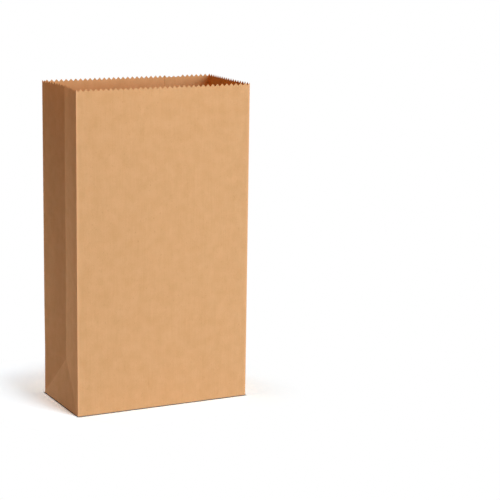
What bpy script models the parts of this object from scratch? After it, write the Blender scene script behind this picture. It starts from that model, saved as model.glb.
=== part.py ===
# Brown paper lunch bag, opened and standing on its block bottom.
# One sheet of kraft paper is lapped into a tube, creased into two side gussets, cut with a
# serrated knife, and folded and glued shut below. It stays one closed solid.
# Metres, +Z up. The front panel faces -Y. The back panel faces +Y and has the glued lap.
# The origin is the middle of the footprint, on the surface that the bag stands on.

from math import ceil, floor, sqrt

import bmesh
import bpy
from mathutils import Vector

# The bag
BAG_WIDTH = 0.1524  # fold to fold across the front panel
BAG_DEPTH = 0.0762  # fold to fold across the bottom, the flat width of one gusset
BAG_HEIGHT = 0.2660  # standing surface to the tips of the teeth
PAPER = 0.0001  # thickness of the sheet

# The knife
TOOTH_PITCH = 0.0254 / 6
TOOTH_DEPTH = 0.0021  # tip to root

# How far the opened bag is from a true box
LEFT_LEAN = 0.0052  # the centre crease of the left gusset still leans into the bag
RIGHT_LEAN = 0.0006  # the right gusset is pushed out almost flat
PANEL_BOW = 0.0012  # outward swell of the front and back panels at half height
BACK_CREASE_DIP = 0.0007  # the fold that let the bottom lie flat on the back panel

# The glued lap down the back panel
LAP_WIDTH = 0.0170
LAP_FROM_FOLD = 0.0254  # right-hand back fold to the near edge of the lap
LAP_TIP_DROP = 0.0009  # through two layers the knife leaves shorter teeth
LAP_FOOT = 0.0008  # the lap runs out this far above the bottom

# The glued bottom
FLAP_OVERLAP = 0.0212  # how far its front and back flaps lie over each other

# How finely the panels are divided
PANEL_COLUMNS = 12
LOWER_ROWS = 3
UPPER_ROWS = 7
TOLERANCE = 1e-7

# What follows from the sizes
HALF_WIDTH = BAG_WIDTH / 2
HALF_DEPTH = BAG_DEPTH / 2
FLAP_REACH = HALF_DEPTH + FLAP_OVERLAP / 2  # fold of any bottom flap to its cut edge
OUTER_FLAP = 0.0  # undersides of the three layers of the bottom, lowest first
INNER_FLAP = PAPER
SIDE_FLAPS = 2 * PAPER
APEX = SIDE_FLAPS + HALF_DEPTH  # where the diagonal folds of a gusset meet its centre crease
LAP_RIGHT = HALF_WIDTH - LAP_FROM_FOLD
LAP_LEFT = LAP_RIGHT - LAP_WIDTH

KRAFT_COLOUR = (0.68, 0.40, 0.19, 1.0)


def clear_scene():
    for obj in list(bpy.data.objects):
        bpy.data.objects.remove(obj, do_unlink=True)


def kraft_paper():
    material = bpy.data.materials.new("kraft_paper")
    material.use_nodes = True
    shader = material.node_tree.nodes["Principled BSDF"]
    shader.inputs["Base Color"].default_value = KRAFT_COLOUR
    shader.inputs["Roughness"].default_value = 0.85
    shader.inputs["Metallic"].default_value = 0.0
    return material


# Finding and dividing faces

def facing(bm, *directions):
    """Faces that look in any of the directions, give or take the lean of a panel."""
    bm.normal_update()
    return [
        face
        for face in bm.faces
        if any(face.normal.dot(Vector(direction)) > 0.9 for direction in directions)
    ]


def crease(bm, faces, point, normal):
    """Folds the faces along the line where a plane crosses them."""
    edges = {edge for face in faces for edge in face.edges}
    verts = {vert for face in faces for vert in face.verts}
    bmesh.ops.bisect_plane(
        bm,
        geom=[*verts, *edges, *faces],
        dist=TOLERANCE,
        plane_co=point,
        plane_no=normal,
    )


def point_on_outline(face, place):
    """The vertex of a face's outline nearest to a place, made there if it has none."""
    place = Vector(place)

    def nearest(edge):
        start, end = (vert.co for vert in edge.verts)
        along = end - start
        share = min(1.0, max(0.0, (place - start).dot(along) / along.length_squared))
        return (start + along * share - place).length, share

    edge = min(face.edges, key=lambda candidate: nearest(candidate)[0])
    share = nearest(edge)[1]
    start, end = edge.verts
    if share * edge.calc_length() < TOLERANCE:
        return start
    if (1 - share) * edge.calc_length() < TOLERANCE:
        return end
    return bmesh.utils.edge_split(edge, start, share)[1]


def divide(face, start, end, between=()):
    """Divides a face along a line between two places on its outline."""
    first = point_on_outline(face, start)
    last = point_on_outline(face, end)
    bmesh.utils.face_split(face, first, last, coords=[Vector(point) for point in between])


def face_at(bm, faces, x, y):
    """The one of some level faces that lies over or under a place."""
    return next(
        face
        for face in faces
        if bmesh.geometry.intersect_face_point(face, (x, y, face.verts[0].co.z))
    )


def step(bm, faces, by):
    """Raises or sinks faces by a vector, or by one vector for each vertex's place."""
    made = bmesh.ops.extrude_face_region(bm, geom=faces)["geom"]
    for vert in (item for item in made if isinstance(item, bmesh.types.BMVert)):
        vert.co += by(vert.co) if callable(by) else Vector(by)
    bmesh.ops.delete(bm, geom=[face for face in faces if face.is_valid], context="FACES")
    return [item for item in made if isinstance(item, bmesh.types.BMFace)]


# The tube

def open_tube(bm):
    """Four panels and a bottom, flat and square, open at the top."""
    height = BAG_HEIGHT - SIDE_FLAPS
    bmesh.ops.create_cube(bm, size=1)
    bmesh.ops.scale(bm, verts=bm.verts, vec=(BAG_WIDTH, BAG_DEPTH, height))
    bmesh.ops.translate(bm, verts=bm.verts, vec=(0, 0, SIDE_FLAPS + height / 2))
    bmesh.ops.delete(bm, geom=facing(bm, (0, 0, 1)), context="FACES")


def fold_gussets(bm):
    """The centre crease of each gusset, and the diagonal folds that open its foot."""
    for side in (-1, 1):
        crease(bm, facing(bm, (side, 0, 0)), (0, 0, 0), (0, 1, 0))
        for half in (-1, 1):
            corner = (side * HALF_WIDTH, half * HALF_DEPTH, SIDE_FLAPS)
            faces = [
                face
                for face in facing(bm, (side, 0, 0))
                if face.calc_center_median().y * half > 0
            ]
            crease(bm, faces, corner, (0, half, 1))


def divide_panels(bm):
    """Columns and rows for the swell of the panels, and the edges of the lap."""
    for column in range(1, PANEL_COLUMNS):
        x = BAG_WIDTH * column / PANEL_COLUMNS - HALF_WIDTH
        crease(bm, facing(bm, (0, -1, 0), (0, 1, 0)), (x, 0, 0), (1, 0, 0))
    for x in (LAP_LEFT, LAP_RIGHT):
        crease(bm, facing(bm, (0, 1, 0)), (x, 0, 0), (1, 0, 0))
    crease(bm, facing(bm, (0, 1, 0)), (0, 0, SIDE_FLAPS + LAP_FOOT), (0, 0, 1))
    lower = [SIDE_FLAPS + HALF_DEPTH * row / LOWER_ROWS for row in range(1, LOWER_ROWS + 1)]
    upper = [APEX + (BAG_HEIGHT - APEX) * row / UPPER_ROWS for row in range(1, UPPER_ROWS)]
    for z in lower + upper:
        walls = facing(bm, (0, -1, 0), (0, 1, 0), (-1, 0, 0), (1, 0, 0))
        crease(bm, walls, (0, 0, z), (0, 0, 1))


# The mouth

def across_flat(place):
    """Distance from the left edge of the bag, folded flat as the knife meets it."""
    if abs(place.y) > HALF_DEPTH - TOLERANCE:
        return place.x + HALF_WIDTH
    tucked = HALF_DEPTH - abs(place.y)
    return tucked if place.x < 0 else BAG_WIDTH - tucked


def bite(place):
    """How deep the knife cuts at a place: nothing at a tip, and a full tooth at a root."""
    turns = across_flat(place) / TOOTH_PITCH
    depth = 1 - abs(2 * (turns - floor(turns)) - 1)
    lapped = place.y > 0 and LAP_LEFT + TOLERANCE < place.x < LAP_RIGHT - TOLERANCE
    tip = LAP_TIP_DROP if lapped else 0.0
    return tip + (TOOTH_DEPTH - tip) * depth


def cut_mouth(bm):
    """Serrates the rim, with a point at each tip and root of the knife's teeth."""
    for edge in [edge for edge in bm.edges if edge.is_boundary]:
        vert, end = sorted(edge.verts, key=lambda rim: across_flat(rim.co))
        first, last = across_flat(vert.co), across_flat(end.co)
        half_pitch = TOOTH_PITCH / 2
        marks = range(
            ceil((first + TOLERANCE) / half_pitch), floor((last - TOLERANCE) / half_pitch) + 1
        )
        for mark in marks:
            share = (mark * half_pitch - first) / (last - first)
            vert = bmesh.utils.edge_split(edge, vert, share)[1]
            edge = next(rest for rest in vert.link_edges if rest.other_vert(vert) is end)
            first = mark * half_pitch
    rim = {vert for edge in bm.edges if edge.is_boundary for vert in edge.verts}
    for vert in rim:
        vert.co.z -= bite(vert.co)


# The shape that the opened paper takes

def gusset_lean(x, y, z):
    """How far a gusset leans into the bag, as flat facets between its folds."""
    from_fold = 1 - abs(y) / HALF_DEPTH
    from_bottom = (z - SIDE_FLAPS) / HALF_DEPTH
    return (LEFT_LEAN if x < 0 else RIGHT_LEAN) * max(0.0, min(from_fold, from_bottom))


def depth_kept(x, z):
    """Share of its depth that the tube keeps where a leaning gusset draws it in."""
    to_right = (x + HALF_WIDTH) / BAG_WIDTH
    lean = LEFT_LEAN + (RIGHT_LEAN - LEFT_LEAN) * to_right
    lean *= min(1.0, (z - SIDE_FLAPS) / HALF_DEPTH)
    return sqrt(1 - (lean / HALF_DEPTH) ** 2)


def swell(x, z):
    """Outward bow of a big panel, which its folds, its foot and its mouth hold straight."""
    across = 1 - (x / HALF_WIDTH) ** 2
    up = (z - SIDE_FLAPS) / (BAG_HEIGHT - SIDE_FLAPS)
    return PANEL_BOW * across * 4 * up * (1 - up)


def back_dip(z):
    """How far the back lies in at the fold level with the tips of the gusset triangles."""
    up = (z - SIDE_FLAPS) / HALF_DEPTH
    return BACK_CREASE_DIP * max(0.0, min(up, 2 - up))


def shape_panels(bm):
    for vert in bm.verts:
        x, y, z = vert.co
        vert.co.y = y * depth_kept(x, z)
        if y > 0:
            vert.co.y -= back_dip(z) * y / HALF_DEPTH
        if abs(y) > HALF_DEPTH - TOLERANCE:
            vert.co.y += swell(x, z) * (1 if y > 0 else -1)
        elif abs(x) > HALF_WIDTH - TOLERANCE:
            vert.co.x += gusset_lean(x, y, z) * (1 if x < 0 else -1)


def thicken(bm):
    """Gives the open surface the thickness of the sheet, inwards."""
    mesh = bpy.data.meshes.new("sheet")
    bm.to_mesh(mesh)
    sheet = bpy.data.objects.new("sheet", mesh)
    bpy.context.scene.collection.objects.link(sheet)
    solidify = sheet.modifiers.new("paper", "SOLIDIFY")
    solidify.thickness = PAPER
    solidify.offset = -1
    solidify.use_even_offset = True
    solid = bpy.data.meshes.new_from_object(
        sheet.evaluated_get(bpy.context.evaluated_depsgraph_get())
    )
    bpy.data.objects.remove(sheet)
    bpy.data.meshes.remove(mesh)
    bm.clear()
    bm.from_mesh(solid)
    bpy.data.meshes.remove(solid)


# The second layers

def lap_faces(bm, direction):
    """The outside or the inside of the back panel where the sheet is double."""
    return [
        face
        for face in facing(bm, (0, direction, 0))
        if face.calc_center_median().y > 0
        and LAP_LEFT < face.calc_center_median().x < LAP_RIGHT
        and face.calc_center_median().z > SIDE_FLAPS + LAP_FOOT
    ]


def outer_layer(place):
    """The lap outside, one sheet high at its right-hand edge."""
    return Vector((0, PAPER * (place.x - LAP_LEFT) / LAP_WIDTH, 0))


def inner_layer(place):
    """The lap inside, one sheet high at its left-hand edge."""
    return Vector((0, -PAPER * (LAP_RIGHT - place.x) / LAP_WIDTH, 0))


def lap_back_panel(bm):
    """One edge of the sheet shows outside, and the other inside. Between them it is double."""
    step(bm, lap_faces(bm, 1), outer_layer)
    step(bm, lap_faces(bm, -1), inner_layer)
    bmesh.ops.remove_doubles(bm, verts=bm.verts, dist=TOLERANCE)


def saw_teeth(start, end, into):
    """A cut edge from start to end with its roots dug in by a vector, both ends left out."""
    start, end, into = Vector(start), Vector(end), Vector(into)
    halves = 2 * max(1, round((end - start).length / TOOTH_PITCH))
    return [start.lerp(end, n / halves) + into * (n % 2) for n in range(1, halves)]


def fold_underside(bm):
    """The two big flaps, with the feet of the gussets showing between them at each end."""
    z = SIDE_FLAPS
    meeting = HALF_WIDTH - HALF_DEPTH  # where the slanted edges of the flaps cross
    tip = HALF_WIDTH - FLAP_REACH
    cut = HALF_DEPTH - FLAP_REACH
    teeth = saw_teeth((-tip, cut, z), (tip, cut, z), (0, TOOTH_DEPTH, 0))
    outline = [(-meeting, 0, z), (-tip, cut, z), *teeth, (tip, cut, z), (meeting, 0, z)]
    bottom = facing(bm, (0, 0, -1))[0]
    divide(bottom, (-HALF_WIDTH, HALF_DEPTH, z), (HALF_WIDTH, HALF_DEPTH, z), outline)
    for side in (-1, 1):
        front = face_at(bm, facing(bm, (0, 0, -1)), 0, -HALF_DEPTH / 2)
        divide(front, (side * HALF_WIDTH, -HALF_DEPTH, z), (side * meeting, 0, z))
    undersides = facing(bm, (0, 0, -1))
    front = face_at(bm, undersides, 0, -HALF_DEPTH / 2)
    back = face_at(bm, undersides, 0, HALF_DEPTH / 2)
    step(bm, [front, back], (0, 0, INNER_FLAP - SIDE_FLAPS))
    back = face_at(bm, facing(bm, (0, 0, -1)), 0, HALF_DEPTH / 2)
    step(bm, [back], (0, 0, OUTER_FLAP - INNER_FLAP))


def fold_floor(bm):
    """Inside, the side flaps lie on top, and the front flap's cut edge crosses between them."""
    z = SIDE_FLAPS + PAPER
    tip = HALF_WIDTH - FLAP_REACH
    wall = HALF_DEPTH - PAPER
    cut = FLAP_REACH - HALF_DEPTH
    for side in (-1, 1):
        floor_face = face_at(bm, facing(bm, (0, 0, 1)), 0, 0)
        start, end = (side * tip, -wall, z), (side * tip, wall, z)
        divide(floor_face, start, end, saw_teeth(start, end, (side * TOOTH_DEPTH, 0, 0)))
    middle = face_at(bm, facing(bm, (0, 0, 1)), 0, 0)
    start, end = (-tip, cut, z), (tip, cut, z)
    divide(middle, start, end, saw_teeth(start, end, (0, -TOOTH_DEPTH, 0)))
    floor_faces = facing(bm, (0, 0, 1))
    front = face_at(bm, floor_faces, 0, 0)
    back = face_at(bm, floor_faces, 0, HALF_DEPTH / 2 + cut / 2)
    step(bm, [front, back], (0, 0, INNER_FLAP - SIDE_FLAPS))
    back = face_at(bm, facing(bm, (0, 0, 1)), 0, HALF_DEPTH / 2 + cut / 2)
    step(bm, [back], (0, 0, OUTER_FLAP - INNER_FLAP))


def paper_bag():
    bm = bmesh.new()
    open_tube(bm)
    fold_gussets(bm)
    divide_panels(bm)
    cut_mouth(bm)
    shape_panels(bm)
    thicken(bm)
    lap_back_panel(bm)
    fold_underside(bm)
    fold_floor(bm)
    mesh = bpy.data.meshes.new("paper_bag")
    bm.to_mesh(mesh)
    bm.free()
    mesh.materials.append(kraft_paper())
    return bpy.data.objects.new("paper_bag", mesh)


clear_scene()
collection = bpy.data.collections.new("brown_paper_lunch_bag")
bpy.context.scene.collection.children.link(collection)
collection.objects.link(paper_bag())
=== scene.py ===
import math

import bmesh
import bpy
from mathutils import Matrix, Vector, noise


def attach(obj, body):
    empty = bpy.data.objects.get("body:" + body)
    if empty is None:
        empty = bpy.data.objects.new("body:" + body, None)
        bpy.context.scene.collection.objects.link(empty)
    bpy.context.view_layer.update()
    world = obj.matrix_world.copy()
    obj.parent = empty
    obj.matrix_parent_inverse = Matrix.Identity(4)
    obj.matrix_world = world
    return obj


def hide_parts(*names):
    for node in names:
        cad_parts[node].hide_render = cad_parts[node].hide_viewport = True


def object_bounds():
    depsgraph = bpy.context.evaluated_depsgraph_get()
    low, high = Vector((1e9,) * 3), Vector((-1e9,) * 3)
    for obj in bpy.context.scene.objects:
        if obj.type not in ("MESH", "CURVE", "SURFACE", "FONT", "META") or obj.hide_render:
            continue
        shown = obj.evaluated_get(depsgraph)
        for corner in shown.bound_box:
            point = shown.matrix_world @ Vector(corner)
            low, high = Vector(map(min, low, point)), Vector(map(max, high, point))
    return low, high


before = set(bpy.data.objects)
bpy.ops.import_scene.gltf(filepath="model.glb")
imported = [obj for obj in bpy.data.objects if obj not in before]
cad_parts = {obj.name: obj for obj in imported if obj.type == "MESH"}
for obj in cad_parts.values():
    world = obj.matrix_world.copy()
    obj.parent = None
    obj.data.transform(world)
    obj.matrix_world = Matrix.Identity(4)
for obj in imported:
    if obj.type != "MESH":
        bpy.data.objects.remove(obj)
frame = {"nodes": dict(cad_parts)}
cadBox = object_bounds()
print("frame loaded:", ", ".join(frame["nodes"]))


# The camera of the photograph. It looks down on the left front fold.

viewpoint = {
    "place": (-0.5587, -1.2762, 0.4153),
    "turn": 27.235,              # degrees to the right of straight at the front panel
    "down": 11.749,
    "tilt": 0.873,               # the photograph is held a little crooked
    "focalPixels": 1700,
    "framePixels": 500,
    "sensor": 36,
}


def addCamera(v):
    bpy.ops.object.camera_add(location=v["place"])
    camera = bpy.context.object
    camera.name = "photoCamera"
    turned = Matrix.Rotation(-math.radians(v["turn"]), 4, "Z")
    lowered = Matrix.Rotation(math.radians(90 - v["down"]), 4, "X")
    rolled = Matrix.Rotation(math.radians(v["tilt"]), 4, "Z")
    camera.matrix_world = Matrix.Translation(v["place"]) @ turned @ lowered @ rolled
    camera.data.sensor_width = v["sensor"]
    camera.data.lens = v["focalPixels"] / v["framePixels"] * v["sensor"]
    bpy.context.scene.camera = camera


addCamera(viewpoint)
print("camera placed")


# Picking parts of a mesh in edit mode

weld = 1e-6          # points this near each other are one
slack = 1e-5         # for comparing places
facing = 0.9         # a face looks some way when its normal's share that way is over this


def pick(piece, kind, wanted):
    # kind is verts, edges or faces. Everything else is let go.
    modes = tuple(kind == each for each in ("verts", "edges", "faces"))
    bpy.context.tool_settings.mesh_select_mode = modes
    bpy.ops.mesh.select_all(action="DESELECT")
    mesh = bmesh.from_edit_mesh(piece.data)
    mesh.normal_update()
    for item in getattr(mesh, kind):
        if wanted(item):
            item.select_set(True)
    mesh.select_flush_mode()
    bmesh.update_edit_mesh(piece.data)


def cutLine(piece, point, normal, among=None):
    # a crease or a grid line, across the whole piece or only some faces
    if among is None:
        bpy.ops.mesh.select_all(action="SELECT")
    else:
        pick(piece, "faces", among)
    bpy.ops.mesh.bisect(plane_co=point, plane_no=normal, threshold=weld)


def pullOut(way):
    # extrudes the picked faces
    bpy.ops.mesh.extrude_region_move(TRANSFORM_OT_translate={"value": way})


def moveVerts(piece, moved):
    # moved gives a vertex its new place
    mesh = bmesh.from_edit_mesh(piece.data)
    for vert in mesh.verts:
        vert.co = moved(vert.co)
    bmesh.update_edit_mesh(piece.data)


# The bag: one sheet, so one piece

toothPitch = 0.0254 / 6          # six teeth to the inch
halfPitch = toothPitch / 2

paperBag = {
    "halfWidth": 18 * toothPitch,
    "halfDepth": 9 * toothPitch,
    "height": cadBox[1].z,
    "sheet": 0.00012,
    "toothDepth": 0.0021,
    "leftLean": 0.0052,              # the left gusset still leans in, the right one hardly
    "rightLean": 0.0006,
    "bow": 0.0012,                   # swell at the middle of a panel
    "foldRadius": 0.00035,           # upright folds
    "foldSteps": 4,
    "creaseSoftness": 0.0004,        # centre and diagonal creases
    "creaseBand": 0.0007,            # a line of the grid lies this far to each side of one
    "smoothAngle": 32,

    "lapLeft": 8 * toothPitch,       # the glued lap down the back, between two tips
    "lapRight": 12 * toothPitch,
    "lapTipDrop": 0.0009,
    "lapFoot": 0.0008,
    "flapReach": 23 * halfPitch,     # fold of a bottom flap to the tips of its cut edge
    "levelSlack": 0.0001,            # less than a sheet, for finding faces at one level

    "nearFold": (0.0011, 0.0032),    # extra columns beside each upright fold
    "footRow": 0.0005,
    "rowHeight": 0.0036,
    "mouthStrip": 1.5,               # rows stop this many tooth depths below the tips

    "backDip": 0.0007,               # where the bottom folds up: in the back panel
    "gussetDip": 0.0005,             # and in the back half of each gusset
    "gussetDipWidth": 0.005,
    "bead": (0.00010, 0, 0.0016),            # beside an upright fold: height, distance, width
    "hollow": (0.00008, 0.0045, 0.0022),     # next to the bead
    "panelRipples": ((0.00030, 28, 3), (0.00012, 75, 9)),    # height, number to the metre, start
    "gussetRipples": ((0.00024, 34, 21), (0.00010, 90, 5)),
    "rippleStretch": 0.7,            # fewer upright than across
    "panelFade": 0.014,              # ripples end this near a fold, and near the foot
    "gussetFade": 0.008,
    "footFade": 0.012,
    "footTuck": 0.0002,              # the foot is drawn in by this
}
paperBag["foot"] = 2 * paperBag["sheet"]
paperBag["apex"] = paperBag["foot"] + paperBag["halfDepth"]


def addTube(b):
    # Four walls and a bottom with rounded upright folds, open at the top
    tall = b["height"] - b["foot"]
    bpy.ops.object.select_all(action="DESELECT")
    bpy.ops.mesh.primitive_cube_add(
        size=1,
        location=(0, 0, b["foot"] + tall / 2),
        scale=(2 * b["halfWidth"], 2 * b["halfDepth"], tall),
    )
    bpy.ops.object.transform_apply(location=True, rotation=True, scale=True)
    tube = bpy.context.object
    tube.name = "lunchBag"
    bpy.ops.object.mode_set(mode="EDIT")
    pick(tube, "faces", lambda face: face.normal.z > facing)
    bpy.ops.mesh.delete(type="FACE")
    pick(tube, "edges", lambda edge: abs(edge.verts[0].co.z - edge.verts[1].co.z) > tall / 2)
    bpy.ops.mesh.bevel(offset=b["foldRadius"], segments=b["foldSteps"], affect="EDGES")
    return tube


def sawLines(half):
    # the tips and roots between two folds, with one at the middle
    count = round(half / halfPitch)
    return [step * halfPitch for step in range(1 - count, count)]


def cutGrid(tube, b):
    # Columns at every tip and root of the teeth, with more beside the folds
    band = b["creaseBand"]
    across = sawLines(b["halfWidth"])
    across += [s * (b["halfWidth"] - d) for s in (-1, 1) for d in b["nearFold"]]
    deep = sawLines(b["halfDepth"])
    deep += [s * (b["halfDepth"] - d) for s in (-1, 1) for d in b["nearFold"]]
    deep += [-band, band]
    for x in across:
        cutLine(tube, (x, 0, 0), (1, 0, 0))
    for y in deep:
        cutLine(tube, (0, y, 0), (0, 1, 0))
    belowApex = round(b["halfDepth"] / halfPitch)
    rows = [b["foot"] + step * halfPitch for step in range(1, belowApex + 1)]
    rows += [b["foot"] + b["footRow"], b["apex"] - band, b["apex"] + band]
    top = b["height"] - b["mouthStrip"] * b["toothDepth"]
    count = round((top - b["apex"]) / b["rowHeight"])
    rows += [b["apex"] + (top - b["apex"]) * step / count for step in range(1, count + 1)]
    for z in rows:
        cutLine(tube, (0, 0, z), (0, 0, 1))


def cutDiagonals(tube, b):
    # The folds that open the foot of a gusset: one line and a softer one on each side of it
    band = b["creaseBand"]
    nearGusset = 0.7         # takes in the gusset's side of an upright fold's round

    def crossed(face, side, half):
        centre = face.calc_center_median()
        low = centre.z < b["apex"] + 2 * band
        return face.normal.x * side > nearGusset and centre.y * half > 0 and low

    for side in (-1, 1):
        for half in (-1, 1):
            for shift in (-band, 0, band):
                corner = (0, half * b["halfDepth"], b["foot"] + shift)
                cutLine(tube, corner, (0, half, 1), lambda face: crossed(face, side, half))


def bump(distance, width):
    return math.exp(-((distance / width) ** 2))


def softMin(a, b, k):
    return (a + b - math.sqrt((a - b) ** 2 + k * k)) / 2


def wave(place, scale, start, stretch):
    # a smooth uneven wave, from about -1 to 1
    high = place.z * scale * stretch + start
    return noise.noise(Vector((place.x * scale, place.y * scale, high)))


def bagShape(b):
    # Where each point of the square tube goes when the opened paper settles
    halfWidth, halfDepth, foot = b["halfWidth"], b["halfDepth"], b["foot"]
    soft = b["creaseSoftness"]
    rounded = b["foldRadius"] * 0.99         # a little less than the fold, so its edge counts

    def onPanel(place):
        return abs(place.y) > halfDepth - rounded

    def onGusset(place):
        return abs(place.x) > halfWidth - rounded

    def acrossFlat(place):
        # distance from the left edge of the bag, folded flat as the knife meets it
        if onPanel(place):
            return place.x + halfWidth
        tucked = halfDepth - abs(place.y)
        return tucked if place.x < 0 else 2 * halfWidth - tucked

    def bite(place):
        # how far the knife's line lies below the highest tips
        turns = acrossFlat(place) / toothPitch
        deep = 1 - abs(2 * (turns - math.floor(turns)) - 1)
        lapped = place.y > 0 and b["lapLeft"] + slack < place.x < b["lapRight"] - slack
        tip = b["lapTipDrop"] if lapped else 0
        return tip + (b["toothDepth"] - tip) * deep

    def lean(place):
        # inward, most at the centre crease, and less below the diagonals
        fromFold = 1 - (math.sqrt(place.y ** 2 + soft ** 2) - soft) / halfDepth
        fromBottom = (place.z - foot) / halfDepth
        most = b["leftLean"] if place.x < 0 else b["rightLean"]
        return most * max(0, softMin(fromFold, fromBottom, soft / halfDepth))

    def kept(place):
        # share of the depth that is left where the gussets lean in
        toRight = (place.x + halfWidth) / (2 * halfWidth)
        most = b["leftLean"] * (1 - toRight) + b["rightLean"] * toRight
        most *= min(1, (place.z - foot) / halfDepth)
        return math.sqrt(1 - (most / halfDepth) ** 2)

    def ripples(place, waves, fade):
        total = 0
        for height, scale, start in waves:
            total += height * wave(place, scale, start, b["rippleStretch"])
        return total * fade

    def ridge(fromFold, form):
        height, away, width = form
        return height * bump(fromFold - away, width)

    def panelSwell(place, footFade):
        # how far out a point of a panel lies, most at half the height
        up = (place.z - foot) / (b["height"] - foot)
        fromFold = halfWidth - abs(place.x)
        fade = min(1, fromFold / b["panelFade"]) * footFade
        swell = b["bow"] * (1 - (place.x / halfWidth) ** 2) * 4 * up * (1 - up)
        bead = ridge(fromFold, b["bead"]) - ridge(fromFold, b["hollow"])
        return swell + ripples(place, b["panelRipples"], fade) + bead * footFade

    def gussetSwell(place, footFade):
        # the same for a gusset, less than nought because it leans in
        fromFold = halfDepth - abs(place.y)
        fade = min(1, fromFold / b["gussetFade"]) * footFade
        fromLine = abs(place.z - b["apex"])
        dip = b["gussetDip"] * math.exp(-fromLine / b["gussetDipWidth"]) if place.y > 0 else 0
        dip *= math.sin(math.pi * min(1, fromFold / halfDepth))
        return ripples(place, b["gussetRipples"], fade) - lean(place) - dip

    def settle(place):
        x, y, z = place
        footFade = min(1, (z - foot) / b["footFade"])
        new = place.copy()
        if z > b["height"] - slack:
            new.z -= bite(place)
        if not onPanel(place) and not onGusset(place):
            return new
        new.y *= kept(place)
        if y > 0:
            dip = max(0, min((z - foot) / halfDepth, 2 - (z - foot) / halfDepth))
            new.y -= b["backDip"] * dip * y / halfDepth
        if onPanel(place):
            new.y += math.copysign(1, y) * panelSwell(place, footFade)
        if onGusset(place):
            new.x += math.copysign(1, x) * gussetSwell(place, footFade)
        if z < foot + slack:
            new.x -= math.copysign(min(b["footTuck"], abs(x)), x) if onGusset(place) else 0
            new.y -= math.copysign(min(b["footTuck"], abs(y)), y) if onPanel(place) else 0
        return new

    return settle


def addLap(tube, b):
    # One edge of the sheet shows outside and the other inside. Between them it is double.
    def onLap(face, out):
        centre = face.calc_center_median()
        onBack = centre.y > b["halfDepth"] / 2 and centre.z > b["foot"] + b["lapFoot"]
        return onBack and face.normal.y * out > facing and b["lapLeft"] < centre.x < b["lapRight"]

    for out in (1, -1):
        pick(tube, "faces", lambda face: onLap(face, out))
        pullOut((0, out * b["sheet"], 0))
        mesh = bmesh.from_edit_mesh(tube.data)
        for vert in mesh.verts:
            if vert.select:
                share = (vert.co.x - b["lapLeft"]) / (b["lapRight"] - b["lapLeft"])
                share = min(1, max(0, share if out > 0 else 1 - share))
                vert.co.y -= out * b["sheet"] * (1 - share)
        bmesh.update_edit_mesh(tube.data)
    bpy.ops.mesh.select_all(action="SELECT")
    bpy.ops.mesh.remove_doubles(threshold=weld)


def joinAlong(tube, wanted):
    # Splits the faces that a saw-toothed line crosses from corner to corner
    pick(tube, "verts", wanted)
    bpy.ops.mesh.vert_connect()


def onSaw(along, off, tipOff, rootOff):
    # True where a grid point lies on a saw-toothed line: tips and roots at every half pitch
    step = round(along / halfPitch)
    if abs(along - step * halfPitch) > slack:
        return False
    return abs(off - (tipOff if step % 2 == 0 else rootOff)) < slack


def sawRise(along):
    # from 0 at the tips of a saw-toothed line to half a pitch at its roots
    return halfPitch * abs((along / halfPitch + 1) % 2 - 1)


def foldBottom(tube, b):
    # Below: two big flaps with slanted sides, the back one lowest, and the gusset feet between
    halfWidth, halfDepth, foot = b["halfWidth"], b["halfDepth"], b["foot"]
    cut = halfDepth - b["flapReach"]
    end = halfWidth - b["flapReach"]

    def under(face):
        return face.normal.z < -facing and face.calc_center_median().z < foot + b["levelSlack"]

    def onSlant(face, side, half):
        centre = face.calc_center_median()
        fromX, fromY = (end, cut) if half > 0 else (halfWidth - halfDepth, 0)
        return under(face) and centre.x * side > fromX and centre.y * half > fromY

    def inBack(face):
        # the back flap reaches past the middle
        centre = face.calc_center_median()
        pastSaw = centre.y > cut + sawRise(centre.x - end)
        return under(face) and pastSaw and halfWidth - abs(centre.x) > halfDepth - centre.y

    def inFront(face):
        centre = face.calc_center_median()
        return under(face) and halfWidth - abs(centre.x) > halfDepth + centre.y

    for side in (-1, 1):
        for half in (-1, 1):
            corner = (side * halfWidth, half * halfDepth, 0)
            cutLine(tube, corner, (side, -half, 0), lambda face: onSlant(face, side, half))
    joinAlong(
        tube,
        lambda vert: abs(vert.co.z - foot) < weld and abs(vert.co.x) < end + slack
        and onSaw(vert.co.x - end, vert.co.y, cut, cut + halfPitch),
    )
    for layer in (lambda face: inBack(face) or inFront(face), inBack):
        pick(tube, "faces", layer)
        pullOut((0, 0, -b["sheet"]))


def foldFloor(tube, b):
    # Inside: the side flaps lie on top, and the front flap's cut edge crosses between them
    level = b["foot"] + b["sheet"]
    cut = b["flapReach"] - b["halfDepth"]
    end = b["halfWidth"] - b["flapReach"]

    def isFloor(vert):
        return abs(vert.co.z - level) < weld and abs(vert.co.y) < b["halfDepth"]

    def between(face):
        centre = face.calc_center_median()
        low = face.normal.z > facing and centre.z < level + b["levelSlack"]
        return low and abs(centre.x) < end + sawRise(centre.y)

    def behind(face):
        centre = face.calc_center_median()
        return between(face) and centre.y > cut - sawRise(centre.x - end)

    for side in (-1, 1):
        joinAlong(
            tube,
            lambda vert: isFloor(vert) and onSaw(vert.co.y, side * vert.co.x, end, end + halfPitch),
        )
    joinAlong(
        tube,
        lambda vert: isFloor(vert) and abs(vert.co.x) < end + slack
        and onSaw(vert.co.x - end, vert.co.y, cut, cut - halfPitch),
    )
    for layer in (between, behind):
        pick(tube, "faces", layer)
        pullOut((0, 0, -b["sheet"]))


# Marks for the paper: worn folds with a painted highlight on the upright ones, and painted shade
# beside cut edges

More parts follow.
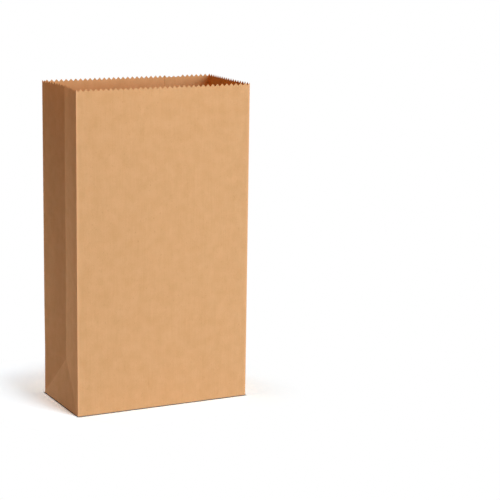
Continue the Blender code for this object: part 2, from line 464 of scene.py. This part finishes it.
marks = {
    # the upright folds' paler band is wear and a painted highlight
    "uprightWearAndHighlightWidth": 0.0013,
    "softWidth": 0.0010,
    "softShare": 0.2,            # the softer folds are less worn
    "gussetBand": 0.012,         # no point of a gusset lies further in than this,
    "panelBand": 0.004,          # and none of a panel further in than this
    "pastApex": 0.002,           # wear along the diagonals ends this far above their tip
    "footDrop": 0.0003,          # from the bottom's upper layer down to the fold round it
    "wallClear": 0.001,          # the flaps' steps keep this far from the walls
    "stepNormal": 0.3,           # and the share of their normals up or down is under this
}


def foldWearAndHighlightAt(place, b, m):
    # 1 on the upright fold between a panel and a gusset, which is wear and a painted highlight, and
    # less on the softer folds, which are only worn
    x, y, z = abs(place.x), abs(place.y), place.z - b["foot"]
    fromUpright = math.hypot(b["halfWidth"] - x, b["halfDepth"] - y)
    onGusset = x > b["halfWidth"] - m["gussetBand"]
    onPanel = y > b["halfDepth"] - m["panelBand"]
    lines = [1]
    if onGusset and z > b["halfDepth"]:
        lines.append(y)
    if onGusset and z < b["halfDepth"] + m["pastApex"]:
        lines.append(abs(z - (b["halfDepth"] - y)) / math.sqrt(2))
    if onGusset or onPanel:
        lines.append(z + m["footDrop"])
        if place.y > 0:
            lines.append(abs(z - b["halfDepth"]))
    soft = m["softShare"] * bump(min(lines), m["softWidth"])
    return max(bump(fromUpright, m["uprightWearAndHighlightWidth"]), soft)


def addFoldWearAndHighlight(tube, b, m):
    # The fibres are broken along the folds, so the paper is paler there. On the upright folds the
    # paler band is also a painted highlight.
    wearAndHighlight = tube.data.attributes.new("foldWearAndHighlight", "FLOAT", "POINT")
    for vert in tube.data.vertices:
        wearAndHighlight.data[vert.index].value = foldWearAndHighlightAt(vert.co, b, m)


def markLap(tube, b, m):
    # How far each point of the back panel lies from the lap's edge on its own side, for a painted
    # shade line along that edge
    fromEdge = tube.data.attributes.new("fromLapEdge", "FLOAT", "POINT")
    for vert in tube.data.vertices:
        away = 1
        if vert.co.y > b["halfDepth"] - m["panelBand"] and vert.co.z > b["foot"] + b["lapFoot"]:
            away = vert.co.x - b["lapRight" if vert.normal.y > 0 else "lapLeft"]
        fromEdge.data[vert.index].value = away


def markFlaps(tube, b, m):
    # The steps along the cut edges of the bottom flaps, inside and below, marked for a painted shade
    # beside them
    shade = tube.data.attributes.new("flapShade", "FLOAT", "POINT")
    farX = b["halfWidth"] - m["wallClear"]
    farY = b["halfDepth"] - m["wallClear"]
    for face in tube.data.polygons:
        x, y, z = face.center
        low = abs(x) < farX and abs(y) < farY and z < b["foot"] + 2 * b["sheet"]
        if low and abs(face.normal.z) < m["stepNormal"]:
            for index in face.vertices:
                shade.data[index].value = 1


def makeBag(b, m):
    tube = addTube(b)
    cutGrid(tube, b)
    print("bag: grid cut,", len(bmesh.from_edit_mesh(tube.data).faces), "faces")
    cutDiagonals(tube, b)
    moveVerts(tube, bagShape(b))
    print("bag: creased and settled")
    bpy.ops.object.mode_set(mode="OBJECT")
    sheet = tube.modifiers.new("sheet", "SOLIDIFY")
    sheet.thickness = b["sheet"]
    sheet.offset = -1
    sheet.use_even_offset = True
    bpy.ops.object.modifier_apply(modifier="sheet")
    bpy.ops.object.mode_set(mode="EDIT")
    addLap(tube, b)
    foldBottom(tube, b)
    foldFloor(tube, b)
    bpy.ops.object.mode_set(mode="OBJECT")
    bpy.ops.object.shade_smooth_by_angle(angle=math.radians(b["smoothAngle"]))
    for mark in (addFoldWearAndHighlight, markLap, markFlaps):
        mark(tube, b, m)
    print("bag: folded,", len(tube.data.polygons), "faces")
    return tube


# Nodes of a material

def addNode(tree, kind, place, **settings):
    node = tree.nodes.new(kind)
    node.location = place
    for name, value in settings.items():
        setattr(node, name, value)
    return node


def feed(tree, sockets, sources):
    # a source is another node's socket, or a value
    for socket, source in zip(sockets, sources):
        if isinstance(source, bpy.types.NodeSocket):
            tree.links.new(source, socket)
        else:
            socket.default_value = source


def addMath(tree, operation, sources, place):
    step = addNode(tree, "ShaderNodeMath", place, operation=operation)
    feed(tree, step.inputs, sources)
    return step.outputs[0]


def addRange(tree, source, start, end, place, low=0, high=1, **settings):
    # low where the source is start, high where it is end
    ramp = addNode(tree, "ShaderNodeMapRange", place, **settings)
    names = ("Value", "From Min", "From Max", "To Min", "To Max")
    feed(tree, [ramp.inputs[name] for name in names], (source, start, end, low, high))
    return ramp.outputs["Result"]


def addMix(tree, factor, first, second, place):
    mix = addNode(tree, "ShaderNodeMix", place, data_type="RGBA", clamp_factor=True)
    feed(tree, (mix.inputs[0], mix.inputs[6], mix.inputs[7]), (factor, first, second))
    return mix.outputs[2]


def mixShaders(tree, factor, first, second, place):
    blend = addNode(tree, "ShaderNodeMixShader", place)
    feed(tree, blend.inputs, (factor, first, second))
    return blend.outputs[0]


def addNoise(tree, coords, grain, place):
    mapping = addNode(tree, "ShaderNodeMapping", (place[0] - 200, place[1]))
    mapping.inputs["Scale"].default_value = grain["stretch"]
    pattern = addNode(tree, "ShaderNodeTexNoise", place)
    pattern.inputs["Scale"].default_value = 1 / grain["size"]
    pattern.inputs["Detail"].default_value = grain["detail"]
    tree.links.new(coords, mapping.inputs["Vector"])
    tree.links.new(mapping.outputs["Vector"], pattern.inputs["Vector"])
    return pattern.outputs["Fac"]


def addSum(tree, parts, start, place):
    # start plus each noise, centred on nought, times its share
    total = start - 0.5 * sum(share for source, share in parts)
    for number, (source, share) in enumerate(parts):
        spot = (place[0] + 170 * number, place[1])
        total = addMath(tree, "MULTIPLY_ADD", (source, share, total), spot)
    return total


def readMark(tree, name, place):
    return addNode(tree, "ShaderNodeAttribute", place, attribute_name=name).outputs["Fac"]


# Kraft paper

kraft = {
    "plain": (0.730, 0.510, 0.275, 1),
    "deep": (0.640, 0.432, 0.213, 1),
    "wornAndHighlight": (0.880, 0.600, 0.340, 1),
    "fleckAndShade": (0.300, 0.130, 0.045, 1),
    "through": (1.000, 0.480, 0.120, 1),    # light that comes through the sheet
    "throughShare": 0.26,
    "roughness": 0.7,
    "grains": {                             # patch width in metres, and shares in tone and relief
        "clouds": {"size": 0.008, "detail": 4, "stretch": (1, 1, 1), "tone": 1.6, "relief": 0.5},
        "streaks": {"size": 0.0011, "detail": 3, "stretch": (1, 1, 0.05), "tone": 0.9, "relief": 0.6},
        "fibres": {"size": 0.00045, "detail": 3, "stretch": (1, 1, 0.45), "tone": 1.5, "relief": 0.7},
    },
    "toneStart": 0.45,
    "reliefStart": 0.5,
    "reliefStrength": 0.35,
    "reliefDepth": 0.00006,
    "specks": {"size": 0.0009, "detail": 2, "stretch": (1, 1, 0.5)},
    "speckRange": (0.66, 0.80),             # of the noise, from no fleck to all of its share
    "speckShare": 0.45,
    "wornAndHighlightShare": 0.78,
    "lapLine": 0.0005,                      # painted shade beside the lap's cut edge
    "lapShare": 0.35,
    # painted shade beside the flaps' cut edges
    "flapShadeShare": 0.4,
}


def paperColour(tree, coords, grains, k):
    tone = addSum(tree, [(grain, g["tone"]) for grain, g in grains], k["toneStart"], (-800, 200))
    colour = addMix(tree, tone, k["plain"], k["deep"], (-350, 300))
    specks = addNoise(tree, coords, k["specks"], (-1100, -450))
    flecked = addRange(tree, specks, *k["speckRange"], (-800, -450), high=k["speckShare"])
    colour = addMix(tree, flecked, colour, k["fleckAndShade"], (-200, 300))
    # paler along the folds: wear, and on the upright folds also a painted highlight
    wearAndHighlight = readMark(tree, "foldWearAndHighlight", (-1100, -700))
    wornAndHighlight = addMath(tree, "MULTIPLY", (wearAndHighlight, k["wornAndHighlightShare"]), (-700, -700))
    colour = addMix(tree, wornAndHighlight, colour, k["wornAndHighlight"], (-50, 300))
    # painted shade in the fleck colour along the lap's cut edge
    lapEdge = readMark(tree, "fromLapEdge", (-1100, -950))
    lapGap = addMath(tree, "ABSOLUTE", (lapEdge,), (-900, -950))
    lapLine = addRange(tree, lapGap, 0, k["lapLine"], (-700, -950), low=k["lapShare"], high=0)
    # painted shade beside the flaps' cut edges, in the fleck colour
    flapEdge = readMark(tree, "flapShade", (-1100, -1200))
    flapLine = addMath(tree, "MULTIPLY", (flapEdge, k["flapShadeShare"]), (-700, -1200))
    cutEdgeShade = addMath(tree, "MAXIMUM", (lapLine, flapLine), (-450, -1000))
    return addMix(tree, cutEdgeShade, colour, k["fleckAndShade"], (100, 300))


def kraftPaper(k):
    material = bpy.data.materials.new("kraftPaper")
    material.use_nodes = True
    tree = material.node_tree
    shader = tree.nodes["Principled BSDF"]
    coords = addNode(tree, "ShaderNodeTexCoord", (-1500, 0)).outputs["Object"]
    grains = []
    for row, grain in enumerate(k["grains"].values()):
        grains.append((addNoise(tree, coords, grain, (-1100, 300 - 250 * row)), grain))
    tree.links.new(paperColour(tree, coords, grains, k), shader.inputs["Base Color"])
    shader.inputs["Roughness"].default_value = k["roughness"]
    shader.inputs["Specular IOR Level"].default_value = 0
    heights = [(grain, g["relief"]) for grain, g in grains]
    relief = addNode(tree, "ShaderNodeBump", (-200, -200))
    relief.inputs["Strength"].default_value = k["reliefStrength"]
    relief.inputs["Distance"].default_value = k["reliefDepth"]
    tree.links.new(addSum(tree, heights, k["reliefStart"], (-800, -150)), relief.inputs["Height"])
    tree.links.new(relief.outputs["Normal"], shader.inputs["Normal"])
    through = addNode(tree, "ShaderNodeBsdfTranslucent", (0, -500))
    through.inputs["Color"].default_value = k["through"]
    sheet = mixShaders(tree, k["throughShare"], shader.outputs[0], through.outputs[0], (350, 0))
    tree.links.new(sheet, tree.nodes["Material Output"].inputs["Surface"])
    return material


lunchBag = makeBag(paperBag, marks)
lunchBag.data.materials.append(kraftPaper(kraft))
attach(lunchBag, "root")
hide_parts("paper_bag")
print("bag finished")


# A white floor that keeps the shadow, white surroundings, a big soft lamp from the front right
# and a small one low down behind the left gusset

studio = {
    "floorSize": 1.2,
    "floorLevel": -0.00004,
    "floorColour": (2.35, 2.80, 3.2, 1),      # overexposed to the camera, as a white sweep is
    "bounceColour": (0.95, 0.76, 0.60, 1),    # what the floor sends back to the bag
    "contactShadowColour": (0.12, 0.08, 0.05, 1),   # painted contact shadow on the floor right at the bag's foot
    "contactShadowRange": (0.0012, 0.0024),         # and how far it reaches out from this box
    "footHalf": (0.0752, 0.0384, 0.01),
    "shadowPlace": (0, 0.03, 0),              # the darkest floor, a little behind the bag's foot
    "shadowHalf": (0.0762, 0.055, 0.01),
    "shadowReach": 0.060,                     # past this the floor is plain white to the camera
    "clearWithin": 0.0008,                    # a ray that starts this near passes through the floor
    "surroundings": 0.14,
    "surroundingTint": (1, 0.68, 0.40, 1),
    "aim": (0, 0, 0.13),
    "lamps": {
        "softKey": {
            "place": (0.78, -2.24, 0.52),
            "size": (1.2, 0.9),
            "power": 58,
            "colour": (1, 1, 1),
        },
        "lowFill": {
            "place": (-0.20, 0.32, 0.05),
            "size": (0.2, 0.05),
            "power": 0.75,
            "colour": (0.94, 1, 1.1),
        },
    },
}


def cameraShare(tree, place):
    # 1 for what the camera sees straight, by reflection or through glass, and 0 for bounced light
    path = addNode(tree, "ShaderNodeLightPath", place).outputs
    seen = (path["Is Camera Ray"], path["Is Glossy Ray"])
    straight = addMath(tree, "MAXIMUM", seen, (place[0] + 180, place[1]))
    both = (straight, path["Is Transmission Ray"])
    return addMath(tree, "MAXIMUM", both, (place[0] + 360, place[1]))


def boxDistance(tree, coords, centre, half, place):
    # how far a point lies outside a box
    source = coords
    steps = (("SUBTRACT", centre), ("ABSOLUTE",), ("SUBTRACT", half), ("MAXIMUM", (0, 0, 0)))
    for number, (operation, *value) in enumerate(steps):
        spot = (place[0] + 180 * number, place[1])
        step = addNode(tree, "ShaderNodeVectorMath", spot, operation=operation)
        feed(tree, step.inputs, (source, *value))
        source = step.outputs["Vector"]
    away = addNode(tree, "ShaderNodeVectorMath", (place[0] + 720, place[1]), operation="LENGTH")
    tree.links.new(source, away.inputs[0])
    return away.outputs["Value"]


def whiteFloor(s):
    material = bpy.data.materials.new("whiteFloor")
    material.use_nodes = True
    tree = material.node_tree
    tree.nodes.remove(tree.nodes["Principled BSDF"])
    toCamera = cameraShare(tree, (-900, -400))
    coords = addNode(tree, "ShaderNodeTexCoord", (-2200, -400)).outputs["Object"]
    # a painted contact shadow: the floor darkens toward the bag's foot
    gap = boxDistance(tree, coords, (0, 0, 0), s["footHalf"], (-1900, 100))
    contactShadow = addRange(tree, gap, *s["contactShadowRange"], (-900, 100))
    shown = addMix(tree, contactShadow, s["contactShadowColour"], s["floorColour"], (-600, 100))
    shader = addNode(tree, "ShaderNodeBsdfDiffuse", (0, 100))
    colour = addMix(tree, toCamera, s["bounceColour"], shown, (-300, 100))
    tree.links.new(colour, shader.inputs["Color"])
    white = addNode(tree, "ShaderNodeEmission", (0, -300))
    away = boxDistance(tree, coords, s["shadowPlace"], s["shadowHalf"], (-1900, -700))
    whiter = addRange(
        tree, away, 0, s["shadowReach"], (-900, -700), interpolation_type="SMOOTHSTEP",
    )
    seen = addMath(tree, "MULTIPLY", (toCamera, whiter), (100, -500))
    lit = mixShaders(tree, seen, shader.outputs[0], white.outputs[0], (300, 0))
    # clear from below and right under the bag, so that the folded bottom can be seen
    clear = addNode(tree, "ShaderNodeBsdfTransparent", (300, -200))
    side = addNode(tree, "ShaderNodeNewGeometry", (-100, 400))
    path = addNode(tree, "ShaderNodeLightPath", (-100, 800))
    near = (path.outputs["Ray Length"], s["clearWithin"])
    under = addMath(tree, "LESS_THAN", near, (100, 600))
    either = addMath(tree, "MAXIMUM", (side.outputs["Backfacing"], under), (300, 400))
    oneWay = mixShaders(tree, either, lit, clear.outputs[0], (550, 0))
    tree.links.new(oneWay, tree.nodes["Material Output"].inputs["Surface"])
    return material


def addFloor(s):
    bpy.ops.object.select_all(action="DESELECT")
    bpy.ops.mesh.primitive_plane_add(size=s["floorSize"], location=(0, 0, s["floorLevel"]))
    floor = bpy.context.object
    floor.name = "floor"
    floor.data.materials.append(whiteFloor(s))


def addSurroundings(s):
    world = bpy.data.worlds.new("whiteRoom")
    bpy.context.scene.world = world
    world.use_nodes = True
    tree = world.node_tree
    light = tree.nodes["Background"]
    light.inputs["Color"].default_value = s["surroundingTint"]
    light.inputs["Strength"].default_value = s["surroundings"]
    shown = addNode(tree, "ShaderNodeBackground", (0, -200))
    shown.inputs["Color"].default_value = (1, 1, 1, 1)
    toCamera = cameraShare(tree, (-700, 0))
    blend = mixShaders(tree, toCamera, light.outputs[0], shown.outputs[0], (300, 0))
    tree.links.new(blend, tree.nodes["World Output"].inputs["Surface"])


def addLamp(name, lampSet, aim):
    bpy.ops.object.light_add(type="AREA", location=lampSet["place"])
    lamp = bpy.context.object
    lamp.name = name
    lamp.data.shape = "RECTANGLE"
    lamp.data.size, lamp.data.size_y = lampSet["size"]
    lamp.data.energy = lampSet["power"]
    lamp.data.color = lampSet["colour"]
    lamp.visible_camera = False
    toAim = Vector(aim) - Vector(lampSet["place"])
    lamp.rotation_euler = toAim.to_track_quat("-Z", "Y").to_euler()


addFloor(studio)
addSurroundings(studio)
for lampName, lampSet in studio["lamps"].items():
    addLamp(lampName, lampSet, studio["aim"])
bpy.context.scene.view_settings.view_transform = "Standard"
print("studio lit")
